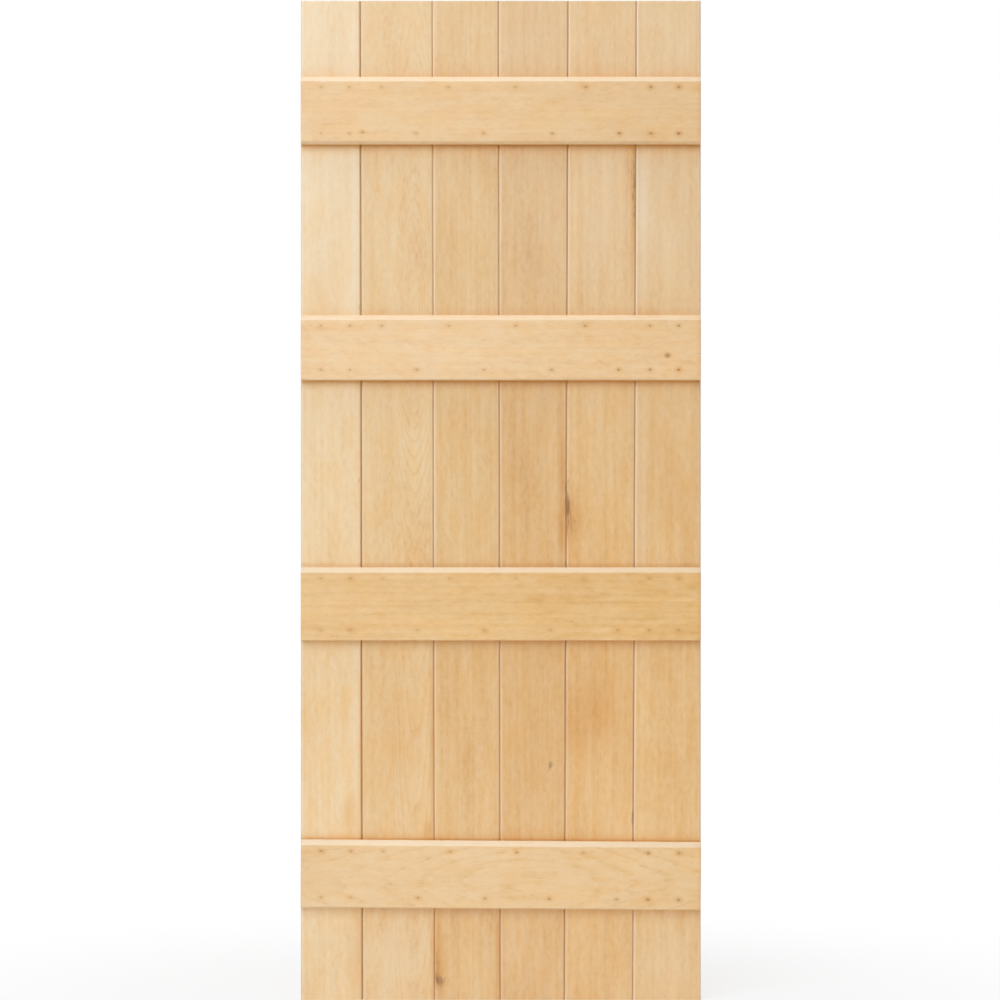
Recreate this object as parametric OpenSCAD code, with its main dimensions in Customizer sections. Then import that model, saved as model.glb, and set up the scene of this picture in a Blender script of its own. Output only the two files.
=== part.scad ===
// Ledged plank door leaf in oak, hung from its ledges.
// Tongue-and-groove boards of unequal widths stand side by side, and four bevelled ledges cross them.
// Oval nails go through each ledge into the boards, punched below the face and stopped with filler.
// Millimetres. Origin at the middle of the foot, half way through the thickness; ledges face -Y, +Z is up.

/* [Leaf] */
// Width of the leaf over all the boards
door_w = 813; // [680:1:980]
// Height of the leaf
door_h = 2032; // [1690:1:2440]
// Round along the leaf's two outer upright edges
edge_round = 3; // [1:0.5:6]

/* [Boards] */
// Thickness of the boards
board_t = 22; // [19:0.5:28]
// Board 1 as picked from the stack; all six are ripped alike to make up the leaf's width
board_1_w = 123; // [100:1:180]
// Board 2 as picked from the stack
board_2_w = 147; // [100:1:180]
// Board 3 as picked from the stack
board_3_w = 134; // [100:1:180]
// Board 4 as picked from the stack
board_4_w = 136; // [100:1:180]
// Board 5 as picked from the stack
board_5_w = 139; // [100:1:180]
// Board 6 as picked from the stack
board_6_w = 134; // [100:1:180]
// Bevel along each board's joint edges, two of which make the V of a joint
joint_bevel = 3; // [0.5:0.1:4]
// Broken corner across each board's two ends
end_arris = 1; // [0.2:0.1:2]

/* [Joints] */
// Thickness of the tongue
tongue_t = 6; // [4:0.5:9]
// Play between tongue and groove, on each face of the tongue
tongue_play = 0.15; // [0.05:0.05:0.5]
// Depth of the groove
groove_d = 9; // [5:0.5:14]
// Room left beyond the tongue's tip
tip_room = 1; // [0.3:0.1:3]
// Broken corner along the tongue's tip
tip_arris = 1; // [0.3:0.1:1.5]
// Open gap of joint 1, between boards 1 and 2
joint_1_gap = 1.1; // [0.1:0.1:4]
// Open gap of joint 2
joint_2_gap = 0.2; // [0.1:0.1:4]
// Open gap of joint 3
joint_3_gap = 0.2; // [0.1:0.1:4]
// Open gap of joint 4
joint_4_gap = 0.3; // [0.1:0.1:4]
// Open gap of joint 5
joint_5_gap = 0.3; // [0.1:0.1:4]
// How far joint 1 runs to the right from foot to head, because the boards taper
joint_1_lean = -4; // [-12:0.5:12]
// Run of joint 2 to the right
joint_2_lean = -4.5; // [-12:0.5:12]
// Run of joint 3 to the right
joint_3_lean = -3.5; // [-12:0.5:12]
// Run of joint 4 to the right
joint_4_lean = 8; // [-12:0.5:12]
// Run of joint 5 to the right
joint_5_lean = 7.5; // [-12:0.5:12]

/* [Ledges] */
// Thickness of the ledges
ledge_t = 22; // [19:0.5:32]
// Height of the top ledge
ledge_top_h = 137; // [110:1:170]
// Height of the upper middle ledge
ledge_upper_h = 132; // [110:1:170]
// Height of the lower middle ledge
ledge_lower_h = 148; // [110:1:180]
// Height of the bottom ledge
ledge_bottom_h = 137; // [110:1:170]
// Boards left showing above the top ledge
head_margin = 156; // [60:1:250]
// Boards left showing below the bottom ledge
foot_margin = 188; // [60:1:300]
// Upper bay between ledges; the three bays stretch alike to make up the leaf's height
bay_upper = 347; // [250:1:500]
// Middle bay between ledges
bay_middle = 380; // [250:1:500]
// Lower bay between ledges
bay_lower = 407; // [250:1:500]
// How far each ledge end stops short of the leaf's edge
ledge_inset = 1; // [0.6:0.1:15]
// Height of the bevel along each ledge's upper edge
bevel_h = 10; // [4:0.5:20]
// Depth of that bevel into the ledge's thickness
bevel_d = 10; // [4:0.5:15]
// Broken corner along the lower edge of the top ledge
foot_bevel_top = 6; // [1:0.5:8]
// Broken corner along the lower edge of the upper middle ledge
foot_bevel_upper = 3; // [1:0.5:8]
// Broken corner along the lower edge of the lower middle ledge
foot_bevel_lower = 2; // [1:0.5:8]
// Broken corner along the lower edge of the bottom ledge
foot_bevel_bottom = 2.5; // [1:0.5:8]
// Broken corner at the two ends of each ledge
ledge_end_arris = 2; // [0.5:0.5:5]
// Fall of the bottom ledge to the right, in degrees
ledge_bottom_fall = 0.4; // [-0.4:0.1:0.4]

/* [Nails] */
// Length of a nail
nail_len = 38; // [34:0.5:40]
// Shank across its wide way, which lies along the ledge's grain
shank_w = 3.4; // [2.6:0.1:4.2]
// Shank across its narrow way
shank_t = 2.2; // [1.6:0.1:2.6]
// Head across its wide way
head_w = 4.8; // [4.4:0.1:5.4]
// Head across its narrow way
head_t = 3.4; // [2.8:0.1:4]
// Length of the head
head_len = 1.6; // [1:0.1:3]
// Length of the four-sided point
point_len = 6; // [3:0.5:9]
// Flat left at the very tip
tip_flat = 0.4; // [0.2:0.1:0.6]
// How far the heads are punched below the ledge's face
punch_d = 2; // [1:0.1:3]
// Punched hole across its wide way
punch_w = 6; // [5.5:0.1:8]
// Punched hole across its narrow way
punch_t = 4.5; // [4.1:0.1:6]
// How far the stopping has sunk below the ledge's face
stopping_sunk = 0.3; // [0.1:0.1:0.8]
// Play all round nails and stopping in their holes
nail_play = 0.05; // [0.02:0.01:0.2]
// Upper row, from each ledge's upper edge
row_head = 22; // [21:1:45]
// Lower row, from each ledge's lower edge
row_foot = 21; // [12:1:45]
// Left nails of board 1, from the leaf's left edge
nail_1_left = 42; // [15:1:48]
// Left nails of board 2, from the joint on its left
nail_2_left = 43; // [15:1:48]
// Left nails of board 3, from the joint on its left
nail_3_left = 32; // [15:1:48]
// Left nails of board 4, from the joint on its left
nail_4_left = 33; // [15:1:48]
// Left nails of board 5, from the joint on its left
nail_5_left = 36; // [15:1:48]
// Left nails of board 6, from the joint on its left
nail_6_left = 29; // [15:1:48]
// Right nails of board 1, from the joint on its right
nail_1_right = 22; // [15:1:48]
// Right nails of board 2, from the joint on its right
nail_2_right = 33; // [15:1:48]
// Right nails of board 3, from the joint on its right
nail_3_right = 31; // [15:1:48]
// Right nails of board 4, from the joint on its right
nail_4_right = 32; // [15:1:48]
// Right nails of board 5, from the joint on its right
nail_5_right = 35; // [15:1:48]
// Right nails of board 6, from the leaf's right edge
nail_6_right = 46; // [15:1:48]

/* [Hidden] */
$fn = 48;

// Cutters and profiles run this far past what they shape
over = 5;

// Planes across the thickness: ledge faces, where ledges meet boards, and the plain back
face_y = -(board_t + ledge_t) / 2;
seat_y = face_y + ledge_t;
back_y = seat_y + board_t;
mid_y = seat_y + board_t / 2;

function sum(list, count) = count == 0 ? 0 : list[count - 1] + sum(list, count - 1);

picked_w = [board_1_w, board_2_w, board_3_w, board_4_w, board_5_w, board_6_w];
board_count = len(picked_w);
last_board = board_count - 1;
ripped = (door_w - sum(picked_w, board_count)) / board_count;
joint_gap = [joint_1_gap, joint_2_gap, joint_3_gap, joint_4_gap, joint_5_gap];
joint_lean = [joint_1_lean, joint_2_lean, joint_3_lean, joint_4_lean, joint_5_lean];
joint_x = [for (j = [0 : last_board - 1]) sum(picked_w, j + 1) + (j + 1) * ripped - door_w / 2];

nail_left = [nail_1_left, nail_2_left, nail_3_left, nail_4_left, nail_5_left, nail_6_left];
nail_right = [nail_1_right, nail_2_right, nail_3_right, nail_4_right, nail_5_right, nail_6_right];

ledge_h = [ledge_top_h, ledge_upper_h, ledge_lower_h, ledge_bottom_h];
foot_bevel = [foot_bevel_top, foot_bevel_upper, foot_bevel_lower, foot_bevel_bottom];
ledge_fall = [0, 0, 0, ledge_bottom_fall];
ledge_len = door_w - 2 * ledge_inset;
ledge_count = len(ledge_h);
bays = [bay_upper, bay_middle, bay_lower];
bays_h = door_h - head_margin - foot_margin - sum(ledge_h, ledge_count);
bay_stretch = (bays_h - sum(bays, len(bays))) / len(bays);
ledge_z = [
    for (k = [0 : ledge_count - 1])
        door_h - head_margin - sum(ledge_h, k) - ledge_h[k] / 2 - sum(bays, k) - k * bay_stretch
];

wood = ["#EFD6B0", "#E7C69A", "#E2BF91", "#DEB98B", "#E2BE90", "#E3C195"];
ledge_wood = ["#E9C699", "#ECCB9D", "#E4BD87", "#EAC799"];

// Where joint j lies at height z
function joint_at(j, z) = joint_x[j] + joint_lean[j] * (z / door_h - 0.5);

// Nails of board i under ledge k, as [across, up] from the middle of the ledge
function nail_l(i, k) = nail_left[i] + (i == 0 ? -door_w / 2 : joint_at(i - 1, ledge_z[k]));
function nail_r(i, k) = (i == last_board ? door_w / 2 : joint_at(i, ledge_z[k])) - nail_right[i];
function board_nails(i, k) = let (
        up = ledge_h[k] / 2 - row_head,
        down = row_foot - ledge_h[k] / 2,
        diagonal = [[nail_l(i, k), up], [nail_r(i, k), down]],
        other = [[nail_r(i, k), up], [nail_l(i, k), down]]
    )
    i == 0 || i == last_board ? concat(diagonal, other) : diagonal;

// Frame of joint j: X across it, Z along it, at half the leaf's height
module along_joint(j) {
    translate([joint_x[j], 0, door_h / 2])
        rotate([0, atan(joint_lean[j] / door_h), 0])
            children();
}

// Frame of ledge k: at its middle, on the face of the boards
module on_ledge(k) {
    translate([0, seat_y, ledge_z[k]])
        rotate([0, ledge_fall[k], 0])
            children();
}

// Frame of one nail: on the ledge's face, Z driving in towards the boards
module at_nail(spot) {
    translate([spot[0], -ledge_t, spot[1]])
        rotate([-90, 0, 0])
            children();
}

// Waste outside a round along Z that faces +X and +Y, with its corner at the origin
module round_waste(radius, run) {
    translate([-radius, -radius, 0])
        difference() {
            translate([0, 0, -run / 2])
                cube([radius + over, radius + over, run]);
            cylinder(r = radius, h = run + 2 * over, center = true);
        }
}

// Bar of flat-sided oval section
module oval(wide, narrow, run) {
    for (side = [-1, 1])
        translate([side * (wide - narrow) / 2, 0, 0])
            cylinder(d = narrow, h = run);
    translate([(narrow - wide) / 2, -narrow / 2, 0])
        cube([wide - narrow, narrow, run]);
}

// Boards as one sheet, cut to length, with the corners broken across both ends
module cut_to_length() {
    section = [
        [seat_y + end_arris, 0],
        [back_y - end_arris, 0],
        [back_y, end_arris],
        [back_y, door_h - end_arris],
        [back_y - end_arris, door_h],
        [seat_y + end_arris, door_h],
        [seat_y, door_h - end_arris],
        [seat_y, end_arris]
    ];
    rotate([90, 0, 90])
        linear_extrude(door_w, center = true)
            polygon(section);
}

// All that lies left of joint j: bevels, shoulders and the tongue between them
module left_of_joint(j) {
    shoulder = -joint_gap[j] / 2;
    tip = groove_d - tip_room - shoulder;
    half = tongue_t / 2;
    slope = joint_bevel + over;
    section = [
        [-door_w, seat_y - over],
        [shoulder - slope, seat_y - over],
        [shoulder, seat_y + joint_bevel],
        [shoulder, mid_y - half],
        [tip - tip_arris, mid_y - half],
        [tip, mid_y - half + tip_arris],
        [tip, mid_y + half - tip_arris],
        [tip - tip_arris, mid_y + half],
        [shoulder, mid_y + half],
        [shoulder, back_y - joint_bevel],
        [shoulder - slope, back_y + over],
        [-door_w, back_y + over]
    ];
    along_joint(j)
        linear_extrude(door_h + 2 * over, center = true)
            polygon(section);
}

// All that lies right of joint j: bevels, shoulders and the groove that takes the tongue
module right_of_joint(j) {
    shoulder = joint_gap[j] / 2;
    half = tongue_t / 2 + tongue_play;
    slope = joint_bevel + over;
    section = [
        [door_w, seat_y - over],
        [shoulder + slope, seat_y - over],
        [shoulder, seat_y + joint_bevel],
        [shoulder, mid_y - half],
        [shoulder + groove_d, mid_y - half],
        [shoulder + groove_d, mid_y + half],
        [shoulder, mid_y + half],
        [shoulder, back_y - joint_bevel],
        [shoulder + slope, back_y + over],
        [door_w, back_y + over]
    ];
    along_joint(j)
        linear_extrude(door_h + 2 * over, center = true)
            polygon(section);
}

// Rounds along the leaf's outer edge: side -1 is the left edge, 1 the right edge
module edge_waste(side) {
    for (face = [0, 1])
        translate([side * door_w / 2, face == 0 ? seat_y : back_y, door_h / 2])
            mirror([side < 0 ? 1 : 0, 0, 0])
                mirror([0, face == 0 ? 1 : 0, 0])
                    round_waste(edge_round, door_h + 2 * over);
}

module board(i) {
    color(wood[i])
        difference() {
            intersection() {
                cut_to_length();
                if (i > 0)
                    right_of_joint(i - 1);
                if (i < last_board)
                    left_of_joint(i);
            }
            if (i == 0)
                edge_waste(-1);
            if (i == last_board)
                edge_waste(1);
            for (k = [0 : ledge_count - 1])
                on_ledge(k)
                    for (spot = board_nails(i, k))
                        at_nail(spot)
                            shank_hole();
        }
}

// Plan of a ledge, with the corners broken at its two ends
module ledge_plan(k) {
    end_x = ledge_len / 2;
    slope = ledge_end_arris + over;
    plan = [
        [-end_x, over],
        [-end_x, ledge_end_arris - ledge_t],
        [slope - end_x, -ledge_t - over],
        [end_x - slope, -ledge_t - over],
        [end_x, ledge_end_arris - ledge_t],
        [end_x, over]
    ];
    linear_extrude(ledge_h[k] + 2 * over, center = true)
        polygon(plan);
}

// Section of a ledge: the bevel that sheds water above, a broken corner below
module ledge_section(k) {
    half = ledge_h[k] / 2;
    section = [
        [0, -half],
        [ledge_t - foot_bevel[k], -half],
        [ledge_t, foot_bevel[k] - half],
        [ledge_t, half - bevel_h],
        [ledge_t - bevel_d, half],
        [0, half]
    ];
    rotate([90, 0, -90])
        linear_extrude(door_w, center = true)
            polygon(section);
}

module ledge(k) {
    color(ledge_wood[k])
        on_ledge(k)
            difference() {
                intersection() {
                    ledge_section(k);
                    ledge_plan(k);
                }
                for (i = [0 : last_board])
                    for (spot = board_nails(i, k))
                        at_nail(spot) {
                            shank_hole();
                            head_hole();
                        }
            }
}

// Holes that the nail makes: the shank's, and the head's with the punch mark above it
module shank_hole() {
    oval(shank_w + 2 * nail_play, shank_t + 2 * nail_play, punch_d + nail_len + nail_play);
}

module head_hole() {
    oval(head_w + 2 * nail_play, head_t + 2 * nail_play, punch_d + head_len + nail_play);
    translate([0, 0, -over])
        oval(punch_w, punch_t, over + punch_d);
}

// Oval wire nail: head, shank, and a point cut from four sides
module nail() {
    translate([0, 0, punch_d]) {
        oval(head_w, head_t, head_len);
        intersection() {
            oval(shank_w, shank_t, nail_len);
            point_sides(shank_w);
            rotate(90)
                point_sides(shank_t);
        }
    }
}

// Slab with the outline of a nail's side view, tapering to the tip
module point_sides(wide) {
    outline = [
        [-wide / 2, 0],
        [wide / 2, 0],
        [wide / 2, nail_len - point_len],
        [tip_flat / 2, nail_len],
        [-tip_flat / 2, nail_len],
        [-wide / 2, nail_len - point_len]
    ];
    rotate([90, 0, 0])
        linear_extrude(2 * shank_w, center = true)
            polygon(outline);
}

module nails(k) {
    color("#6E6A66")
        on_ledge(k)
            for (i = [0 : last_board])
                for (spot = board_nails(i, k))
                    at_nail(spot)
                        nail();
}

module stopping(k) {
    color("#A97B4A")
        on_ledge(k)
            for (i = [0 : last_board])
                for (spot = board_nails(i, k))
                    at_nail(spot)
                        translate([0, 0, stopping_sunk])
                            oval(punch_w - 2 * nail_play, punch_t - 2 * nail_play, punch_d - stopping_sunk);
}

board(0);  // board_1
board(1);  // board_2
board(2);  // board_3
board(3);  // board_4
board(4);  // board_5
board(5);  // board_6
ledge(0);  // ledge_top
ledge(1);  // ledge_upper
ledge(2);  // ledge_lower
ledge(3);  // ledge_bottom
nails(0);  // nails_top
nails(1);  // nails_upper
nails(2);  // nails_lower
nails(3);  // nails_bottom
stopping(0);  // stopping_top
stopping(1);  // stopping_upper
stopping(2);  // stopping_lower
stopping(3);  // stopping_bottom
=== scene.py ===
import bpy
import numpy as np
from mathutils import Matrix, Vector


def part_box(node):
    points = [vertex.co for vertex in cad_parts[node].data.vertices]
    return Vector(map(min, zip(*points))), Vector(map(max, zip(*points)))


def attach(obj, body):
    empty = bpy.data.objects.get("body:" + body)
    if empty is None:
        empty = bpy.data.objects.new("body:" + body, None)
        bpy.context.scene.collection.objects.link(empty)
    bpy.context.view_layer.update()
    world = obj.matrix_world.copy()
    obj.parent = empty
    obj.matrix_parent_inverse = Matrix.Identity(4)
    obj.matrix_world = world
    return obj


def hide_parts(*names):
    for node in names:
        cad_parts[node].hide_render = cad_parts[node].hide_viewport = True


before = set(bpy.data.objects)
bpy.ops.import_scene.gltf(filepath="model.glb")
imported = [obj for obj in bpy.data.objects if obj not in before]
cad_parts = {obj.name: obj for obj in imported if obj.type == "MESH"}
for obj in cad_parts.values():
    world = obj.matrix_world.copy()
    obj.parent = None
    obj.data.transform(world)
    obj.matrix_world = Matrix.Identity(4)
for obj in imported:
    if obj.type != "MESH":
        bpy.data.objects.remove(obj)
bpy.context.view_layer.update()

# THE BOARDS. Six upright oak boards of unequal widths, sawn and planed to 22 mm, each with a tongue down
# its right edge and a groove down its left. None is quite parallel, so the joints lean. The joint edges are
# bevelled to a V on both faces, and the two outer edges of the leaf are rounded.

mm = 0.001
joint_bevel = 3.0 * mm
bevel_softened = 0.5 * mm
outer_round = 3.0 * mm
end_arris = 1.0 * mm
tongue_thick = 6.0 * mm
tongue_play = 0.15 * mm
groove_deep = 9.0 * mm
tip_room = 1.0 * mm
tip_arris = 1.0 * mm
board_cup = 0.10 * mm
knot_sunk = 0.25 * mm

# Each timber's own look. shades: the wood from its darkest lines to its palest. heart: where the tree's
# heart ran, across the timber and in front of its face, mm. crown: the height where the cut came nearest
# to it, mm, and how fast the cut then leaves it, mm for a metre squared. ring: one year's growth, mm.
# figure and stripes: how strongly the years and the long stripes show. head light: how much paler the head
# is painted than the foot, painted light from above. Knots, amber and pale patches are across, up, half
# width and half height, mm, and strength.
board_looks = {
    "board_1": dict(
        shades=("#C99B65", "#E5C18D", "#EED0A3", "#F6E0BC"),
        heart=(-640, 90), crown=(900, 0), ring=2.2, figure=0.2, stripes=0.3, painted_head_light=0.26,
        knots=[(-289, 1058, 3, 10, 0.5), (-288, 1410, 3, 7, 0.5)],
        amber=[(-350, 1400, 20, 60, 0.15), (-310, 380, 14, 30, 0.3), (-292, 80, 18, 120, 0.4),
               (-284, 520, 4, 170, 0.4)],
        pale=[(-296, 1560, 8, 260, 0.25), (-294, 640, 6, 240, 0.2)]),
    "board_2": dict(
        shades=("#BC8A52", "#DDB07B", "#E7C593", "#EFD5AB"),
        heart=(-160, 20), crown=(1400, 420), ring=3.0, figure=0.23, stripes=0.25, painted_head_light=0.12,
        knots=[],
        amber=[(-262, 1500, 8, 90, 0.2), (-146, 345, 7, 20, 0.5), (-135, 90, 7, 110, 0.5),
               (-137, 520, 5, 170, 0.5), (-215, 520, 60, 140, 0.2)],
        pale=[(-210, 90, 50, 90, 0.14)]),
    "board_3": dict(
        shades=("#B48048", "#D8A96D", "#E2BC86", "#EBCD9D"),
        heart=(-420, 50), crown=(300, 0), ring=2.6, figure=0.3, stripes=0.35, painted_head_light=0.12,
        knots=[(-122, 39, 10, 13, 0.7), (-130, 60, 4, 40, 0.5)],
        amber=[(-40, 640, 14, 90, 0.2), (-125, 60, 14, 60, 0.4), (-130, 130, 8, 90, 0.4),
               (-4, 90, 7, 110, 0.5)],
        pale=[]),
    "board_4": dict(
        shades=("#AD7A42", "#D3A367", "#E0B77F", "#EAC796"),
        heart=(560, 40), crown=(1500, 0), ring=2.5, figure=0.3, stripes=0.35, painted_head_light=0.20,
        knots=[(101, 478, 4, 11, 0.9), (131, 1020, 4, 80, 0.5)],
        amber=[(125, 1080, 7, 80, 0.6), (124, 955, 8, 45, 0.6), (30, 1060, 20, 120, 0.2)],
        pale=[]),
    "board_5": dict(
        shades=("#B48347", "#DAAA6D", "#E5BC82", "#F0CE9C"),
        heart=(620, 60), crown=(520, 0), ring=2.8, figure=0.3, stripes=0.35, painted_head_light=0.20,
        knots=[(138, 1004, 5, 15, 0.65), (136, 1025, 3, 75, 0.5), (145, 967, 11, 34, 0.36),
               (263, 1690, 10, 75, 0.2), (271, 1640, 3.5, 130, 0.5), (268, 370, 4, 20, 0.6)],
        amber=[(155, 540, 22, 45, 0.25), (190, 600, 50, 80, 0.35), (146, 970, 17, 55, 0.55),
               (260, 1690, 13, 70, 0.35), (269, 1600, 4, 160, 0.5)],
        pale=[(200, 1560, 50, 140, 0.12)]),
    "board_6": dict(
        shades=("#BA874A", "#DDAF72", "#E7C088", "#F2D3A1"),
        heart=(-150, 60), crown=(900, 0), ring=2.3, figure=0.3, stripes=0.35, painted_head_light=0.22,
        knots=[],
        amber=[(352, 1640, 10, 60, 0.25), (380, 930, 14, 120, 0.2), (340, 1070, 70, 150, 0.22)],
        pale=[(287, 1010, 11, 200, 0.2), (290, 1620, 11, 150, 0.3), (345, 1560, 50, 140, 0.08),
              (340, 90, 60, 90, 0.14)]),
}

# Joints from the leaf's left edge to its right: the gap, the oil gathered in it together with painted
# shade, and how far its bevels are paler, worn and with a painted highlight. More amber lies on the left
# side of a joint, as painted shade on the bevel turned from the light, and more paleness on its right, as a
# painted highlight on the bevel turned to it.
joint_gaps = [0, 1.1 * mm, 0.2 * mm, 0.2 * mm, 0.3 * mm, 0.3 * mm, 0]
joint_oil_and_shade = [0, 0.6, 0.6, 0.65, 0.7, 0.6, 0.4]
joint_wear_and_highlight = [0, 0.20, 0.38, 0.25, 0.25, 0.38, 0]
oil_and_shade_left_of_joint = 1.25
oil_and_shade_right_of_joint = 0.6
wear_and_highlight_left_of_joint = 0.3
wear_and_highlight_right_of_joint = 1.6

# Painted shade on the face just above each ledge and just below it, in its corner and in the shadow it
# casts, and how far down it spreads, mm. Its reach above a ledge and beside a joint is one value. The face
# of the lower bay is darkened a little towards amber all over.
ledge_shade = {"top": (0.25, 1.1, 9), "upper": (0.05, 1.1, 6),
             "lower": (0.1, 0.6, 4.5), "bottom": (0.7, 0.4, 4)}
oil_and_shade_reach = 7.0 * mm
oil_and_shade_beside_joint = 0.3
lower_bay_darkening = 0.10
bay_up = 0.53
bay_half = 0.22

# Paler wood: painted light that brightens the head, the foot worn, and the arrises beside the joints rubbed
# by handling and given a painted highlight
painted_head_light_from = 0.7
painted_head_light_over = 1.3
foot_pale = 0.06
foot_reach = 0.15
arris_rub_and_highlight = 0.3
arris_reach = 1.3 * mm

# Wander of saw and plane along a joint: the lengths of its three waves, m, and how far each one goes
wander_long = np.array([1.3, 0.55, 0.2])
wander_far = np.array([0.14, 0.08, 0.03]) * mm
wander_seed = 7

# Chips along the foot: how many to a board, their half width and depth from least to most, mm, and their
# height
chips = 3
chip_halves = (3, 7)
chip_depths = (0.4, 1.0)
chip_high = 2.5 * mm
chip_seed = 71

# Lines of a board's mesh: beside its ends, round a ledge's edge, up the rest of it, and across its two faces
lines_by_end = np.array([0.0, 0.3, 0.6, 1.0, 2.2]) * mm
lines_by_ledge = np.array([-15, -11, -8, -5.5, -3.5, -2, -1, 0, 1, 2, 3.5, 5.5, 8, 11, 15]) * mm
lines_up = 337
line_from_end = 8 * mm
line_room = 2.5 * mm
lines_across = 3.5 * mm
line_from_side = 4 * mm
line_by_bevel = 1 * mm
lines_on_back = 16

# How near a point is to a plane that it lies on, how far in the sawn end's colour goes, and the bend in
# degrees below which a mesh looks smooth
same_plane = 0.001 * mm
sawn_skin = 0.1 * mm
smooth_below = 38


def points(node):
    """The corner points of a CAD node, a row of x, y and z each, in metres."""
    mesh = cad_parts[node].data
    flat = np.empty(3 * len(mesh.vertices), np.float32)
    mesh.vertices.foreach_get("co", flat)
    return flat.reshape(-1, 3).astype(float)


def softened(corner, before, after, radius, steps):
    """Arc that rounds one corner of a section. It leaves each side at radius over the tangent of half the
    corner's angle, and its points turn evenly about a centre on the line that halves the angle."""
    corner, before, after = (np.array(p, float) for p in (corner, before, after))
    back = (before - corner) / np.linalg.norm(before - corner)
    on = (after - corner) / np.linalg.norm(after - corner)
    half = np.arccos(back @ on) / 2
    centre = corner + (back + on) / np.linalg.norm(back + on) * radius / np.sin(half)
    first = corner + back * radius / np.tan(half) - centre
    last = corner + on * radius / np.tan(half) - centre
    sweep = np.pi - 2 * half
    turn = np.linspace(0, 1, steps + 1)[:, None]
    return centre + (np.sin((1 - turn) * sweep) * first + np.sin(turn * sweep) * last) / np.sin(sweep)


def pulled_in(away, radius):
    """How far a face draws in towards a rounded end: nothing from one radius away, and from there to the end
    a quarter circle, radius less the root of its square less that of the way gone."""
    gone = np.clip(radius - away, 0, None)
    return radius - np.sqrt(np.clip(radius**2 - gone**2, 0, None))


def skin(rings):
    """Closed skin of a section carried along a path. rings[k, p] is point p of the section at step k.
    Each four neighbours make one face, and one face of all its points closes each end."""
    steps, around, _ = rings.shape
    number = np.arange(steps * around).reshape(steps, around)
    after = np.roll(number, -1, axis=1)
    sides = np.stack([number[:-1], after[:-1], after[1:], number[1:]], axis=-1).reshape(-1, 4)
    return rings.reshape(-1, 3), sides.tolist() + [number[0, ::-1].tolist(), number[-1].tolist()]


def piece(name, co, faces, material, **shares):
    """One mesh object at the origin, smooth over gentle bends, with a value a point for each share."""
    mesh = bpy.data.meshes.new(name)
    mesh.from_pydata(co, [], faces)
    mesh.polygons.foreach_set("use_smooth", np.ones(len(faces), bool))
    mesh.set_sharp_from_angle(angle=np.radians(smooth_below))
    for share, values in shares.items():
        held = mesh.attributes.new(share, "FLOAT", "POINT").data
        held.foreach_set("value", np.ravel(values).astype(np.float32))
    mesh.materials.append(material)
    made = bpy.data.objects.new(name, mesh)
    bpy.context.scene.collection.objects.link(made)
    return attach(made, "root")


def linear(shade):
    """An sRGB hex colour as linear red, green, blue and a full alpha."""
    srgb = np.array([int(shade[k:k + 2], 16) for k in (1, 3, 5)]) / 255
    return (*np.where(srgb <= 0.04045, srgb / 12.92, ((srgb + 0.055) / 1.055) ** 2.4).tolist(), 1.0)


def wire(tree, kind, sockets=None, out=0, **settings):
    """Adds one shader node. settings are its own properties, sockets gives each input a value or the
    output that feeds it, and its output number out comes back."""
    made = tree.nodes.new("ShaderNode" + kind)
    for key, value in settings.items():
        setattr(made, key, value)
    for socket, value in (sockets or {}).items():
        if isinstance(value, bpy.types.NodeSocket):
            tree.links.new(value, made.inputs[socket])
        else:
            made.inputs[socket].default_value = value
    return made.outputs[out] if made.outputs else None


# Drawing of the years: how far from its crown the cut goes on leaving the heart, m, how far the heart
# sways and leans, and how far the years bend out round a knot
crown_reach = 0.4
heart_sway = 26 * mm
heart_lean = 18 * mm
knot_swell = 9 * mm
oak_seed = 11
pore_relief = 0.12 * mm
# The pale oak also serves as painted light, and the amber both as oil and as painted shade
warm_tint = "#FFF9ED"
pale_oak = "#F4EAD7"
amber_oil_and_shade = "#E9C584"
knot_brown = "#8F5F3C"
sawn_brown = "#A87C4B"


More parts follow.
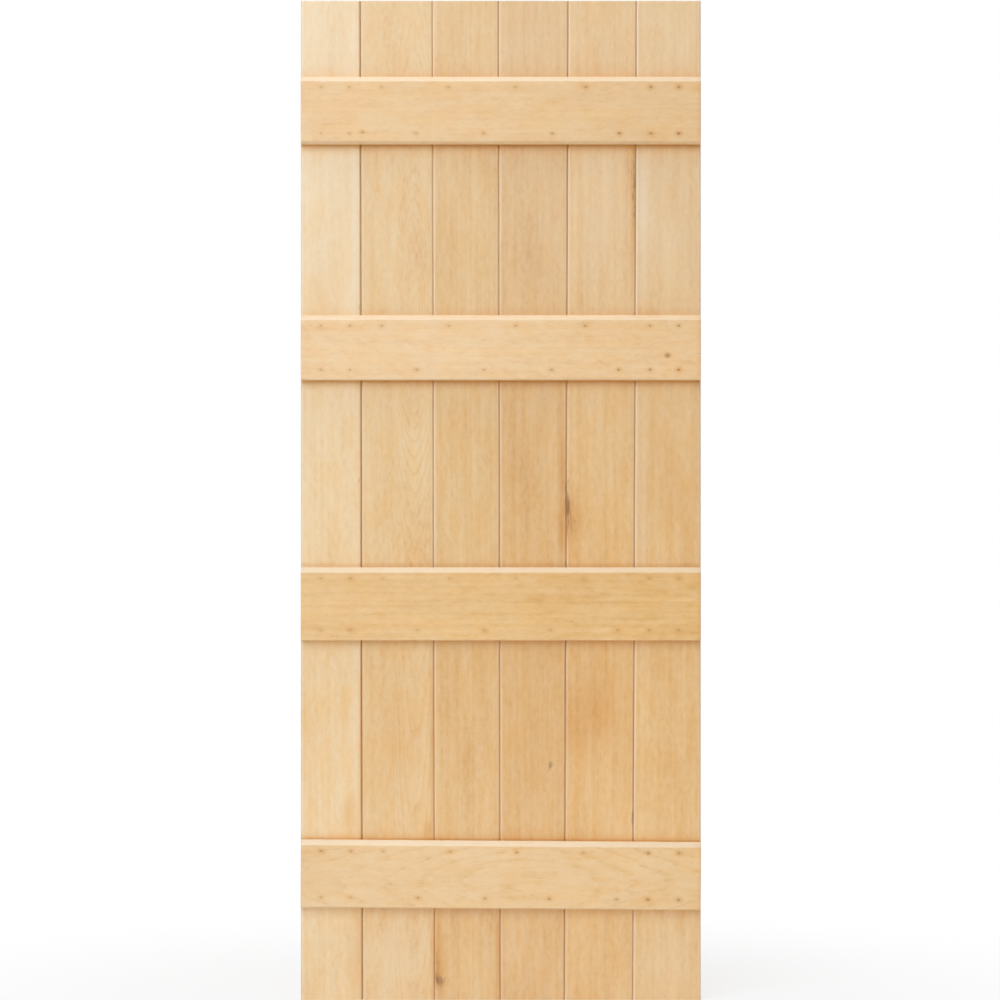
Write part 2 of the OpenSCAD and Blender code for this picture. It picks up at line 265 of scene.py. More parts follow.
def oak(name, upright, looks, seed):
    """Planed European oak under a thin clear oil: pale straw to tan, satin. The eye sees a soft mottle
    and stripes along the grain, fine year rings with open pores in their spring wood, short brown flecks,
    and true end grain, because the rings are drawn in the solid as distance from the tree's heart."""
    material = bpy.data.materials.new(name)
    material.use_nodes = True
    tree = material.node_tree
    tree.nodes.clear()
    axes = wire(tree, "SeparateXYZ", {0: wire(tree, "TexCoord", out="Object")}).node.outputs
    across, along = (axes["X"], axes["Z"]) if upright else (axes["Z"], axes["X"])
    stock = wire(tree, "CombineXYZ", {0: across, 1: axes["Y"], 2: along})
    # Each timber is cut from its own place in the stock, metres from the next one
    own = wire(tree, "VectorMath", {0: stock, 1: (1.7 * seed, 0.9 * seed, 2.3 * seed)}, operation="ADD")

    # Size of one soft patch of each field: across, through and along the grain, mm, and its finer layers.
    # The pores are 0.2 to 0.4 mm wide in the tree, and are drawn two to three times as wide so that they
    # show.
    sizes = dict(
        sway=((170, 170, 1300), 1), lean=((400, 400, 700), 1), ripple=((22, 22, 190), 2),
        stripe=((14, 14, 260), 1), mottle=((9, 9, 19), 2), cloud=((80, 80, 220), 2), hue=((24, 24, 70), 1),
        pore=((0.8, 0.8, 9), 0), fleck=((3.0, 3.0, 17), 1), dust=((0.6, 0.6, 2.5), 1))
    field = {}
    for key, (size, layers) in sizes.items():
        spread = wire(tree, "VectorMath", {0: own, 1: [1 / (s * mm) for s in size]}, operation="MULTIPLY")
        field[key] = wire(tree, "TexNoise", {"Vector": spread, "Scale": 1.0, "Detail": layers,
                                             "Roughness": 0.55})
    share = {key: wire(tree, "Attribute", out="Fac", attribute_name=key)
             for key in ("knot", "amber", "pale", "end")}

    # Years counted out from the heart: distance in the timber's section, with the heart swaying along it
    aside = wire(tree, "Math", {0: across, 1: -looks["heart"][0] * mm}, operation="ADD")
    aside = wire(tree, "Math", {0: field["sway"], 1: heart_sway, 2: aside}, operation="MULTIPLY_ADD")
    run = wire(tree, "Math", {0: along, 1: -looks["crown"][0] * mm}, operation="ADD")
    run = wire(tree, "Math", {0: run, 1: run}, operation="MULTIPLY")
    spent = wire(tree, "Math", {0: run, 1: 1 / crown_reach**2, 2: 1.0}, operation="MULTIPLY_ADD")
    run = wire(tree, "Math", {0: run, 1: spent}, operation="DIVIDE")
    depth = wire(tree, "Math", {0: axes["Y"], 1: looks["heart"][1] * mm}, operation="ADD")
    depth = wire(tree, "Math", {0: run, 1: looks["crown"][1] * mm, 2: depth}, operation="MULTIPLY_ADD")
    depth = wire(tree, "Math", {0: field["lean"], 1: heart_lean, 2: depth}, operation="MULTIPLY_ADD")
    radius = wire(tree, "VectorMath", {0: wire(tree, "CombineXYZ", {0: aside, 1: depth})}, out="Value",
                  operation="LENGTH")
    radius = wire(tree, "Math", {0: share["knot"], 1: knot_swell, 2: radius}, operation="MULTIPLY_ADD")
    years = wire(tree, "Math", {0: radius, 1: 1 / (looks["ring"] * mm), 2: field["ripple"]},
                 operation="MULTIPLY_ADD")
    season = wire(tree, "Math", {0: years}, operation="FRACT")
    spring = wire(tree, "MapRange", {0: season, 1: 0.0, 2: 0.42, 3: 1.0, 4: 0.0},
                  interpolation_type="SMOOTHSTEP")
    decade = wire(tree, "Math", {0: years, 1: 0.27, 2: 3.1 * seed}, operation="MULTIPLY_ADD")
    decade = wire(tree, "TexNoise", {"W": decade, "Scale": 1.0, "Detail": 2.0}, noise_dimensions="1D")

    # Open pores crowd into the spring wood; flecks are where a ray or a bundle of pores meets the face
    pores = wire(tree, "MapRange", {0: field["pore"], 1: 0.56, 2: 0.72, 3: 0.0, 4: 1.0})
    crowd = wire(tree, "Math", {0: spring, 1: 0.75, 2: 0.25}, operation="MULTIPLY_ADD")
    shows = wire(tree, "MapRange", {0: field["cloud"], 1: 0.38, 2: 0.62, 3: 0.3, 4: 1.0})
    ringed = wire(tree, "Math", {0: spring, 1: shows}, operation="MULTIPLY")
    pores = wire(tree, "Math", {0: pores, 1: crowd}, operation="MULTIPLY")
    flecks = wire(tree, "MapRange", {0: field["fleck"], 1: 0.58, 2: 0.72, 3: 0.0, 4: 1.0})

    # One tone from dark to pale. The first four parts lie about a half, so half their weight comes off
    # the middle tone, and a little goes on for what the dark parts take
    middle_tone = 0.6
    dark_parts = 0.08
    parts = [(field["stripe"], looks["stripes"]), (field["mottle"], 0.45), (field["cloud"], 0.55),
             (decade, 0.6 * looks["figure"]), (ringed, -0.7 * looks["figure"]),
             (pores, -0.15), (flecks, -0.11)]
    level = middle_tone - sum(weight for _, weight in parts[:4]) / 2 + dark_parts
    tone = wire(tree, "Math", {0: parts[0][0], 1: parts[0][1], 2: level}, operation="MULTIPLY_ADD")
    for part, weight in parts[1:]:
        tone = wire(tree, "Math", {0: part, 1: weight, 2: tone}, operation="MULTIPLY_ADD")
    ramp = wire(tree, "ValToRGB", {0: tone}).node
    for stop, shade in zip((0.0, 0.36, middle_tone), looks["shades"]):
        ramp.color_ramp.elements.new(stop).color = linear(shade)
    ramp.color_ramp.elements.remove(ramp.color_ramp.elements[0])
    ramp.color_ramp.elements[-1].position = 1.0
    ramp.color_ramp.elements[-1].color = linear(looks["shades"][3])

    # Warmer and greyer patches; paler wood, partly painted light on the head, bevels and lit arrises; amber
    # from oil and painted shade in corners, joints and under the ledges; knots that break up along the
    # grain;
    # sawn ends that drank more oil
    warm = wire(tree, "MapRange", {0: field["hue"], 1: 0.40, 2: 0.62, 3: 0.0, 4: 1.0})
    colour = wire(tree, "Mix", {0: warm, 6: ramp.outputs[0], 7: linear(warm_tint)}, out=2, data_type="RGBA",
                  blend_type="MULTIPLY")
    colour = wire(tree, "Mix", {0: share["pale"], 6: colour, 7: linear(pale_oak)}, out=2, data_type="RGBA")
    colour = wire(tree, "Mix", {0: share["amber"], 6: colour, 7: linear(amber_oil_and_shade)}, out=2, data_type="RGBA",
                  blend_type="MULTIPLY")
    knot = wire(tree, "Math", {0: field["fleck"], 1: 0.9, 2: share["knot"]}, operation="MULTIPLY_ADD")
    knot = wire(tree, "MapRange", {0: knot, 1: 0.62, 2: 1.3, 3: 0.0, 4: 0.8},
                interpolation_type="SMOOTHSTEP")
    colour = wire(tree, "Mix", {0: knot, 6: colour, 7: linear(knot_brown)}, out=2, data_type="RGBA")
    sawn = wire(tree, "Math", {0: share["end"], 1: 0.55}, operation="MULTIPLY")
    colour = wire(tree, "Mix", {0: sawn, 6: colour, 7: linear(sawn_brown)}, out=2, data_type="RGBA")

    # Pale wood is a little glossier; pores and spring wood lie lower than the rest
    rough = wire(tree, "MapRange", {0: tone, 1: 0.2, 2: 0.9, 3: 0.56, 4: 0.42})
    relief = wire(tree, "Math", {0: pores, 1: -0.7, 2: field["dust"]}, operation="MULTIPLY_ADD")
    relief = wire(tree, "Math", {0: spring, 1: -0.35, 2: relief}, operation="MULTIPLY_ADD")
    relief = wire(tree, "Bump", {"Height": relief, "Distance": pore_relief, "Strength": 0.6})
    surface = wire(tree, "BsdfPrincipled", {"Base Color": colour, "Roughness": rough, "IOR": 1.5,
                                            "Normal": relief})
    wire(tree, "OutputMaterial", {0: surface})
    return material


def patches(spots, x, z):
    """Sum of soft oval patches: each is its strength times e to minus the square of the distance from its
    middle, counted in its own half width and half height."""
    total = np.zeros_like(x)
    for spot_x, spot_z, half_w, half_h, strength in spots:
        total += strength * np.exp(-((x / mm - spot_x) / half_w) ** 2 - ((z / mm - spot_z) / half_h) ** 2)
    return total


def ledge_lines(which, x):
    """Heights of a ledge's lower and upper edge against the boards at x, straight between the corners at
    the two ends of its CAD node."""
    seat = points(f"ledge_{which}")
    seat = seat[seat[:, 1] > seat[:, 1].max() - same_plane]
    end_room = 2 * mm
    left = seat[seat[:, 0] < seat[:, 0].min() + end_room]
    right = seat[seat[:, 0] > seat[:, 0].max() - end_room]
    lines = []
    for outermost in (np.argmin, np.argmax):
        start = left[outermost(left[:, 2])]
        stop = right[outermost(right[:, 2])]
        lines.append(np.interp(x, (start[0], stop[0]), (start[2], stop[2])))
    return lines


def board(k, node):
    """A board's section carried from foot to head. A point of the section lies at a share of the way
    between the two edges plus an offset from the nearer one; the edges are the CAD board's own leaning
    lines with a slight wander of saw and plane, three sine waves that both edges of a joint share. Both
    ends pull in over a rounded arris."""
    looks = board_looks[node]
    left_gap, right_gap = joint_gaps[k:k + 2]
    # Painted shade on a joint's bevel turned from the light, painted highlight on the bevel turned to it
    left_oil_and_shade, right_oil_and_shade = oil_and_shade_right_of_joint * joint_oil_and_shade[k], oil_and_shade_left_of_joint * joint_oil_and_shade[k + 1]
    left_wear_and_highlight, right_wear_and_highlight = wear_and_highlight_right_of_joint * joint_wear_and_highlight[k], wear_and_highlight_left_of_joint * joint_wear_and_highlight[k + 1]
    left_bevel = joint_bevel if left_gap else outer_round
    right_bevel = joint_bevel if right_gap else outer_round
    corner = points(node)
    front, back = corner[:, 1].min(), corner[:, 1].max()
    middle = (front + back) / 2
    height = corner[:, 2].max()
    face = corner[corner[:, 1] < front + same_plane]
    low, high = face[:, 2].min(), face[:, 2].max()
    foot = face[face[:, 2] < low + same_plane, 0]
    head = face[face[:, 2] > high - same_plane, 0]

    # Lines up the board, closer at the ends and where a ledge crosses, and the two edges at each of them
    crossed = [edge + lines_by_ledge for which in ledge_shade for edge in ledge_lines(which, foot.mean())]
    crossed = np.concatenate(crossed)
    plain = np.linspace(line_from_end, height - line_from_end, lines_up)
    plain = plain[np.abs(plain[:, None] - crossed).min(1) > line_room]
    z = np.sort(np.concatenate([lines_by_end, plain, crossed, height - lines_by_end]))
    waves = 2 * np.pi * z[:, None] / wander_long
    wander = [(np.sin(waves + start) * wander_far).sum(1) for start in joint_starts[k:k + 2]]
    left = foot.min() + (head.min() - foot.min()) * (z - low) / (high - low) - left_bevel
    right = foot.max() + (head.max() - foot.max()) * (z - low) / (high - low) + right_bevel
    left = left + wander[0] * bool(left_gap)
    right = right + wander[1] * bool(right_gap)

    # Section of each edge, from front to back on the right and from back to front on the left. A point well
    # inside the face only gives the arcs their direction
    inside = -20 * mm

    def worked(side, at):
        """One corner of an edge, front or back: beside a joint a bevel softened at both arrises, else a
        round."""
        way = 1 if at == front else -1
        if side == "round":
            return softened((0, at), (inside, at), (0, middle), outer_round, 6)
        slope, shoulder = (-joint_bevel, at), (0, at + way * joint_bevel)
        return np.concatenate([softened(slope, (inside, at), shoulder, bevel_softened, 2),
                               softened(shoulder, slope, (0, middle), bevel_softened, 2)])

    kind = "bevel" if right_gap else "round"
    edge = [worked(kind, front)]
    if right_gap:
        half, tip = tongue_thick / 2, right_gap + groove_deep - tip_room
        edge += [[(0, middle - half), (tip - tip_arris, middle - half), (tip, middle - half + tip_arris),
                  (tip, middle + half - tip_arris), (tip - tip_arris, middle + half), (0, middle + half)]]
    right_edge = np.concatenate(edge + [worked(kind, back)[::-1]])
    kind = "bevel" if left_gap else "round"
    edge = [worked(kind, back) * (-1, 1)]
    if left_gap:
        half = tongue_thick / 2 + tongue_play
        edge += [[(0, middle + half), (groove_deep, middle + half),
                  (groove_deep, middle - half), (0, middle - half)]]
    left_edge = np.concatenate(edge + [worked(kind, front)[::-1] * (-1, 1)])

    # The whole section: front face, right edge, back face, left edge
    width = foot.max() - foot.min()
    close = np.linspace(line_from_side, width - line_from_side, round(width / lines_across)) / width
    close = np.concatenate([[line_by_bevel / width], close, [1 - line_by_bevel / width]])
    wide = np.concatenate([close[:2], np.linspace(close[2], close[-3], lines_on_back), close[-2:]])[::-1]
    share = np.concatenate([close, np.ones(len(right_edge)), wide, np.zeros(len(left_edge))])
    inset = [(1 - s) * left_bevel - s * right_bevel for s in (close, wide)]
    offset = np.concatenate([inset[0], right_edge[:, 0], inset[1], left_edge[:, 0]])
    deep = np.concatenate([np.full(len(close), front), right_edge[:, 1],
                           np.full(len(wide), back), left_edge[:, 1]])

    x = (1 - share) * left[:, None] + share * right[:, None] + offset
    up = np.broadcast_to(z[:, None], x.shape)
    knot = np.clip(patches(looks["knots"], x, up), 0, 1)
    end = np.minimum(z, height - z)
    pulled = pulled_in(end, end_arris)
    y = deep + board_cup * ((2 * share - 1) ** 2 - 0.5)
    y = y + knot_sunk * knot * (deep == front)
    # Chips along the foot, where the leaf has been stood down
    rng = np.random.default_rng(chip_seed + k)
    chip_places = rng.uniform(left[0], right[0], chips)
    for chip_x, chip_half, chip_deep in zip(chip_places, rng.uniform(*chip_halves, chips),
                                            rng.uniform(*chip_depths, chips)):
        chip = chip_deep * mm * np.exp(-(((x - chip_x) / (chip_half * mm)) ** 2) - (up / chip_high) ** 2)
        y = y + chip * (deep == front)
    y = np.clip(y, front + pulled[:, None], back - pulled[:, None])

    # Amber: oil and painted shade inside the joints and beside them, more on the side turned from the light;
    # painted shade on the face just above and below each ledge; and a little darkening over the lower bay
    below_face = np.minimum(deep - front, back - deep)
    sunk = below_face / joint_bevel
    beside = np.minimum(x - left[:, None], right[:, None] - x)
    in_joint = np.maximum(np.clip(sunk, 0, 1), oil_and_shade_beside_joint * np.exp(-((beside / oil_and_shade_reach) ** 2)))
    at_joint = np.where(share < 0.5, left_oil_and_shade, right_oil_and_shade) * in_joint
    at_ledge = lower_bay_darkening * np.exp(-(((up - bay_up) / bay_half) ** 2))
    for which, (above, below, reach) in ledge_shade.items():
        lower, upper = ledge_lines(which, x)
        at_ledge = at_ledge + above * np.exp(-np.abs(up - upper) / oil_and_shade_reach)
        at_ledge = at_ledge + below * np.exp(-np.abs(up - lower) / (reach * mm))
    amber = np.clip(at_joint + at_ledge * (deep < middle) + patches(looks["amber"], x, up), 0, 1)

    # Paler wood: painted light rising smoothly towards the head, worn at the foot, rubbed and painted as a
    # highlight at the arrises beside the joints, and on the bevels themselves in front, worn and painted as
    # a highlight, most on the bevel turned to the light
    rise = np.clip((up - painted_head_light_from) / painted_head_light_over, 0, 1)
    pale = looks["painted_head_light"] * rise**2 * (3 - 2 * rise) + foot_pale * np.exp(-up / foot_reach)
    pale = pale + patches(looks["pale"], x, up)
    rub_and_highlight = np.minimum(np.abs(x - left[:, None] - left_bevel), np.abs(x - right[:, None] + right_bevel))
    rub_and_highlight = np.hypot(rub_and_highlight, below_face)
    pale = pale + arris_rub_and_highlight * np.exp(-((rub_and_highlight / arris_reach) ** 2))
    on_bevel = (sunk > 0.02) & (sunk < 1.1) & (deep < middle)
    pale = pale + np.where(share < 0.5, left_wear_and_highlight, right_wear_and_highlight) * on_bevel

    co, faces = skin(np.stack([x, y, up], axis=-1))
    made = piece(f"oak_{node}", co, faces, oak(f"planed_oak_{node}", True, looks, oak_seed + k),
                 knot=knot, amber=amber, pale=np.clip(pale, 0, 1),
                 end=np.broadcast_to((end < sawn_skin)[:, None], x.shape))
    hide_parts(node)


joint_starts = np.random.default_rng(wander_seed).uniform(0, 2 * np.pi, (len(joint_gaps), len(wander_long)))
for k, node in enumerate(board_looks):
    board(k, node)

# THE LEDGES. Four oak battens across the boards, planed to 22 mm, with a broad bevel along the upper
# front arris that sheds water and a smaller one below. Each is nailed through to every board, and the
# nails are punched under.

bevel = 10.0 * mm
lengthwise_arris = 0.7 * mm
ledge_end_round = 2.0 * mm
punched_wide = 6.0 * mm
punched_high = 4.5 * mm
leaf_wide = 813.0 * mm

# As for the boards, and besides. foot: the bevel along the lower arris, mm. rub and highlight: how much
# paler the upper bevel is painted, a painted highlight from the light overhead. stopping: how brown the
# plugs are at the left end and at the right.
ledge_looks = {
    "top": dict(
        shades=("#BB8846", "#E0B478", "#E9C391", "#F0D2A3"),
        heart=(2300, 40), crown=(-100, 0), ring=2.6, figure=0.25, stripes=0.3,
        foot=6.0, rub_and_highlight=0.38, stopping=(-0.05, 0.7), knots=[(-281, 1763, 6, 5, 0.5)]),
    "upper": dict(
        shades=("#C18E4D", "#E8BC83", "#F0CC9C", "#F7DAAF"),
        heart=(700, 40), crown=(150, 0), ring=2.4, figure=0.25, stripes=0.3,
        foot=3.0, rub_and_highlight=0.28, stopping=(-0.05, 0.6), knots=[(339, 1310, 8, 5.5, 0.6)]),
    "lower": dict(
        shades=("#B4803D", "#DCAC66", "#E6BC7F", "#F0CE94"),
        heart=(1300, 40), crown=(80, 0), ring=2.2, figure=0.35, stripes=0.45,
        foot=2.0, rub_and_highlight=0.48, stopping=(0.1, 0.4), knots=[]),
    "bottom": dict(
        shades=("#BA8946", "#DEB478", "#E7C390", "#EDD1A4"),
        heart=(252, 200), crown=(50, 350), ring=6.0, figure=0.2, stripes=0.25,
        foot=2.5, rub_and_highlight=0.42, stopping=(0.2, 0.45), knots=[]),
}
ledge_seed = 31
tone_seed = 61
tone_spread = 0.15
upper_row_tone = 0.5

# A punched nail leaves a pit with a slope at its rim. Dents along the two front arrises: how many, the
# share of them above, half width and depth from least to most, mm, and how far they reach from the arris
pit_deep = 0.35 * mm
pit_rim = 0.15 * mm
pit_slope = 0.55 * mm
dents = 14
dents_above = 0.6
dent_halves = (4, 9)
dent_depths = (0.15, 0.5)
dent_reach = 2.5 * mm

# Painted light: paler along the lower arris, and paler towards the left end, where the light comes from.
# Stain: half width and half height round a nail, mm, its least strength and what a brown plug adds, and the
# halo of a knot. Painted shade reaches in from the right end, turned from the light.
lower_arris_painted_light = 0.12
painted_left_light = 0.10
painted_left_light_over = 0.8
stain_half = (7.5, 5.0)
stain_least = 0.3
stain_by_tone = 0.8
knot_halo = 0.5
right_end_shade = 0.35
right_end_shade_reach = 4 * mm

# Lines of a ledge's mesh: crowded round a nail or knot, beside the ends, and the rest across and along
lines_by_nail = np.array([-4.0, -3.0, -2.5, -2.1, -1.7, -1.0, 0, 1.0, 1.7, 2.1, 2.5, 3.0, 4.0]) * mm
wider_along = 1.25
row_apart = 4.5 * mm
row_from_edge = 2 * mm
row_room = 2 * mm
row_least = 0.2 * mm
columns_by_end = np.array([0.0, 0.15, 0.5, 1.0, 1.5, 2.0, 3.0]) * mm
column_apart = 4 * mm
column_from_end = 8 * mm
column_room = 2.5 * mm
column_least = 0.1 * mm


def nail_spots(which):
    """Middles of the sixteen punched holes of a ledge, as across and up: the plugs' outline points sorted
    along each of the two rows and split where the next one is over 8 mm away, and half way between the
    ends of each group."""
    rim = points(f"stopping_{which}")
    middle = (rim[:, 2].min() + rim[:, 2].max()) / 2
    next_hole = 8 * mm
    spots = []
    for row in (rim[rim[:, 2] > middle], rim[rim[:, 2] <= middle]):
        row = row[np.argsort(row[:, 0])]
        for group in np.split(row, np.flatnonzero(np.diff(row[:, 0]) > next_hole) + 1):
            spots.append((group.min(0) + group.max(0))[[0, 2]] / 2)
    return np.array(spots)


def stopping_tones(which):
    """How brown each plug of a ledge came out, 0 for oak and 1 for nut brown: from the ledge's left tone
    to its right one with the square of the way across, half as far in the upper row, and a little either
    way."""
    spots = nail_spots(which)
    left, right = ledge_looks[which]["stopping"]
    rng = np.random.default_rng(tone_seed + list(ledge_looks).index(which))
    across = np.clip(spots[:, 0] / leaf_wide + 0.5, 0, 1)
    reached = np.where(spots[:, 1] > spots[:, 1].mean(), upper_row_tone, 1.0)
    return left + (right - left) * reached * across**2 + rng.uniform(-tone_spread, tone_spread, len(spots))


def ledge(which, seed):
    """A ledge's section, bevelled above and below, carried along it on lines that crowd together at the
    nails and knots. The face sinks at a nail into a flat-sided oval pit: depth falls smoothly with the
    distance from the oval's middle line. The ends pull in over a rounded arris, and the whole turns by
    the CAD ledge's own slight fall."""
    node = f"ledge_{which}"
    looks = ledge_looks[which]
    corner = points(node)
    front, seat = corner[:, 1].min(), corner[:, 1].max()
    on_seat = corner[corner[:, 1] > seat - same_plane]
    ends = [on_seat[np.argmin(on_seat @ way)] for way in ((1, 0, -1), (-1, 0, -1), (1, 0, 1), (-1, 0, 1))]
    head_left, head_right, foot_left = ends[:3]
    middle = sum(ends) / 4
    length = np.linalg.norm(head_right - head_left)
    half = np.linalg.norm(head_left - foot_left) / 2
    fall = np.arctan2(head_left[2] - head_right[2], head_right[0] - head_left[0])
    turn = np.array([[np.cos(fall), np.sin(fall)], [-np.sin(fall), np.cos(fall)]])
    spots = (nail_spots(which) - middle[[0, 2]]) @ turn
    knots = np.array([spot[:2] for spot in looks["knots"]]).reshape(-1, 2) * mm
    marks = np.concatenate([spots, (knots - middle[[0, 2]]) @ turn])

    # The section, from the seat over the upper bevel, down the face and round the lower arris to the seat
    # again
    thick = seat - front
    foot = looks["foot"] * mm
    head_arc = np.concatenate([
        softened((thick - bevel, half), (0, half), (thick, half - bevel), lengthwise_arris, 3),
        softened((thick, half - bevel), (thick - bevel, half), (thick, 0), lengthwise_arris, 3)])
    foot_arc = np.concatenate([
        softened((thick, foot - half), (thick, 0), (thick - foot, -half), lengthwise_arris, 3),
        softened((thick - foot, -half), (thick, foot - half), (0, -half), lengthwise_arris, 3)])
    rows = (marks[:, 1:] + lines_by_nail).ravel()
    plain = np.linspace(foot - half + row_from_edge, half - bevel - row_from_edge,
                        round(2 * half / row_apart))
    apart = np.abs(plain[:, None] - rows).min(1) > row_room
    lines = np.sort(np.concatenate([plain[apart], rows]))[::-1]
    lines = lines[np.append(True, lines[:-1] - lines[1:] > row_least)]
    out = np.concatenate([[0, thick / 3], head_arc[:, 0], np.full(len(lines), thick),
                          foot_arc[:, 0], [thick / 3, 0]])
    up = np.concatenate([[half, half], head_arc[:, 1], lines, foot_arc[:, 1], [-half, -half]])

    # Its places along the ledge, and how far out each point stands from the boards there
    plain = np.linspace(column_from_end, length - column_from_end, round(length / column_apart)) - length / 2
    columns = (marks[:, :1] + lines_by_nail * wider_along).ravel()
    apart = np.abs(plain[:, None] - columns).min(1) > column_room
    run = [columns_by_end - length / 2, plain[apart], columns, length / 2 - columns_by_end]
    run = np.sort(np.concatenate(run))
    run = run[np.append(True, np.diff(run) > column_least)]
    end = length / 2 - np.abs(run)
    pulled = pulled_in(end, ledge_end_round)
    proud = np.minimum(np.broadcast_to(out, (len(run), len(out))), thick - pulled[:, None])
    x = np.broadcast_to(run[:, None], proud.shape)
    z = np.broadcast_to(up, proud.shape)
    flat = (punched_wide - punched_high) / 2
    on_face = out > thick - 0.1 * mm
    for spot in spots:
        away = np.hypot(np.clip(np.abs(x - spot[0]) - flat, 0, None), z - spot[1])
        sunk = np.clip((punched_high / 2 + pit_rim - away) / pit_slope, 0, 1)
        proud = proud - pit_deep * sunk**2 * (3 - 2 * sunk) * on_face
    rng = np.random.default_rng(seed)
    for dent_x in rng.uniform(-length / 2, length / 2, dents):
        dent_half, dent_deep = rng.uniform(*dent_halves) * mm, rng.uniform(*dent_depths) * mm
        arris_up = half - bevel if rng.uniform() < dents_above else foot - half
        away = np.hypot(out - thick, up - arris_up) / dent_reach
        proud = proud - dent_deep * np.exp(-(((x - dent_x) / dent_half) ** 2) - away**2)
    turned = np.stack([x, z], axis=-1) @ turn.T + middle[[0, 2]]
    x, z = turned[..., 0], turned[..., 1]

    # The bevel above is painted paler than the face, a painted highlight from the light overhead, and the
    # arris below a little, painted light
    past_bevel = (out + up - thick - half + bevel) / (0.5 * mm)
    on_bevel = np.clip(past_bevel + 1, 0, 1) * (out > thick - bevel - 1 * mm)
    from_arris = np.hypot(out - thick, up - foot + half)
    rub_and_highlight = looks["rub_and_highlight"] * on_bevel + lower_arris_painted_light * np.exp(-((from_arris / arris_reach) ** 2))
    # Painted light: paler towards the left end, where the light comes from
    pale = painted_left_light * np.clip(0.5 - x / painted_left_light_over, 0, 1) + rub_and_highlight
    # The oak has taken a faint stain round each nail and knot; painted shade darkens the right-hand end
    stains = [(*spot / mm, *stain_half, stain_least + stain_by_tone * tone)
              for spot, tone in zip(nail_spots(which), stopping_tones(which))]
    stains += [(*knot[:4], knot_halo) for knot in looks["knots"]]
    amber = patches(stains, x, z) + right_end_shade * np.exp(-(length / 2 - run[:, None]) / right_end_shade_reach)

    co, faces = skin(np.stack([x, seat - proud, z], axis=-1))
    made = piece(f"oak_{node}", co, faces, oak(f"planed_oak_{node}", False, looks, seed),
                 knot=np.clip(patches(looks["knots"], x, z), 0, 1), amber=np.clip(amber, 0, 1),
                 pale=np.clip(pale, 0, 1), end=np.broadcast_to((end < sawn_skin)[:, None], x.shape))
    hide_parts(node)


for k, which in enumerate(ledge_looks):
    ledge(which, seed=ledge_seed + k)

# THE NAILS. Oval wire nails, sixteen to a ledge, driven through the ledge into the boards and punched
# 2 mm under. They are drawn steel wire and stay out of sight under the stopping.

drawn_lines = 3.3 / mm
drawn_breaks = 0.12 / mm

wire_steel = bpy.data.materials.new("drawn_steel_wire")
wire_steel.use_nodes = True
tree = wire_steel.node_tree
tree.nodes.clear()
# Drawing leaves fine lines along the nail, 0.3 mm apart and about 8 mm long, and a dull grey skin
place = wire(tree, "TexCoord", out="Object")
place = wire(tree, "VectorMath", {0: place, 1: (drawn_lines, drawn_breaks, drawn_lines)},
             operation="MULTIPLY")
lines = wire(tree, "TexNoise", {"Vector": place, "Scale": 1.0, "Detail": 2.0})
skin_grey = wire(tree, "Mix", {0: lines, 6: linear("#77736E"), 7: linear("#A09B94")}, out=2,
                 data_type="RGBA")
dull = wire(tree, "MapRange", {0: lines, 3: 0.32, 4: 0.5})
grain = wire(tree, "Bump", {"Height": lines, "Distance": 0.05 * mm, "Strength": 0.4})
metal = wire(tree, "BsdfPrincipled", {"Base Color": skin_grey, "Metallic": 1.0, "Roughness": dull,
                                      "Normal": grain})
wire(tree, "OutputMaterial", {0: metal})
for which in ledge_looks:
    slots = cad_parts[f"nails_{which}"].data.materials
    slots.clear()
    slots.append(wire_steel)

# THE STOPPING. Brown filler pressed into each punched hole with a knife and wiped flush, then shrunk a
# little as it dried. No two plugs took the oil alike, so some are nut brown and some hardly darker than
# the oak.

grit_size = 0.6 * mm
plug_seed = 51
plug_round = np.linspace(0, 2 * np.pi, 20, endpoint=False)
# Sections of a plug from the face inwards: its share of the punched oval, and its depth under the face, mm
plug_sections = np.array([(0.35, 0.10), (0.70, 0.08), (0.92, 0.10), (1.02, 0.18), (1.0, 0.55), (0.5, 0.65)])
plug_sections = plug_sections * [1, mm]
uneven_twice = 0.05
uneven_thrice = 0.04
whole_turn = 6.28

filler = bpy.data.materials.new("brown_stopping")
filler.use_nodes = True
tree = filler.node_tree
tree.nodes.clear()
# A chalky paste: matt, grainy at about half a millimetre, each plug in its own brown
place = wire(tree, "TexCoord", out="Object")
grit = wire(tree, "TexNoise", {"Vector": place, "Scale": 1 / grit_size, "Detail": 2.0})
dark = wire(tree, "Attribute", out="Fac", attribute_name="dark")
dark = wire(tree, "Math", {0: grit, 1: 0.5, 2: dark}, operation="MULTIPLY_ADD")
paste = wire(tree, "Mix", {0: wire(tree, "MapRange", {0: dark, 1: 0.25, 2: 1.25}), 6: linear("#DDB47E"),
                           7: linear("#8A5420")}, out=2, data_type="RGBA")
grain = wire(tree, "Bump", {"Height": grit, "Distance": 0.15 * mm, "Strength": 0.6})
chalky = wire(tree, "MapRange", {0: grit, 3: 0.66, 4: 0.86})
matt = wire(tree, "BsdfPrincipled", {"Base Color": paste, "Roughness": chalky, "IOR": 1.5,
                                     "Specular IOR Level": 0.2, "Normal": grain})
wire(tree, "OutputMaterial", {0: matt})


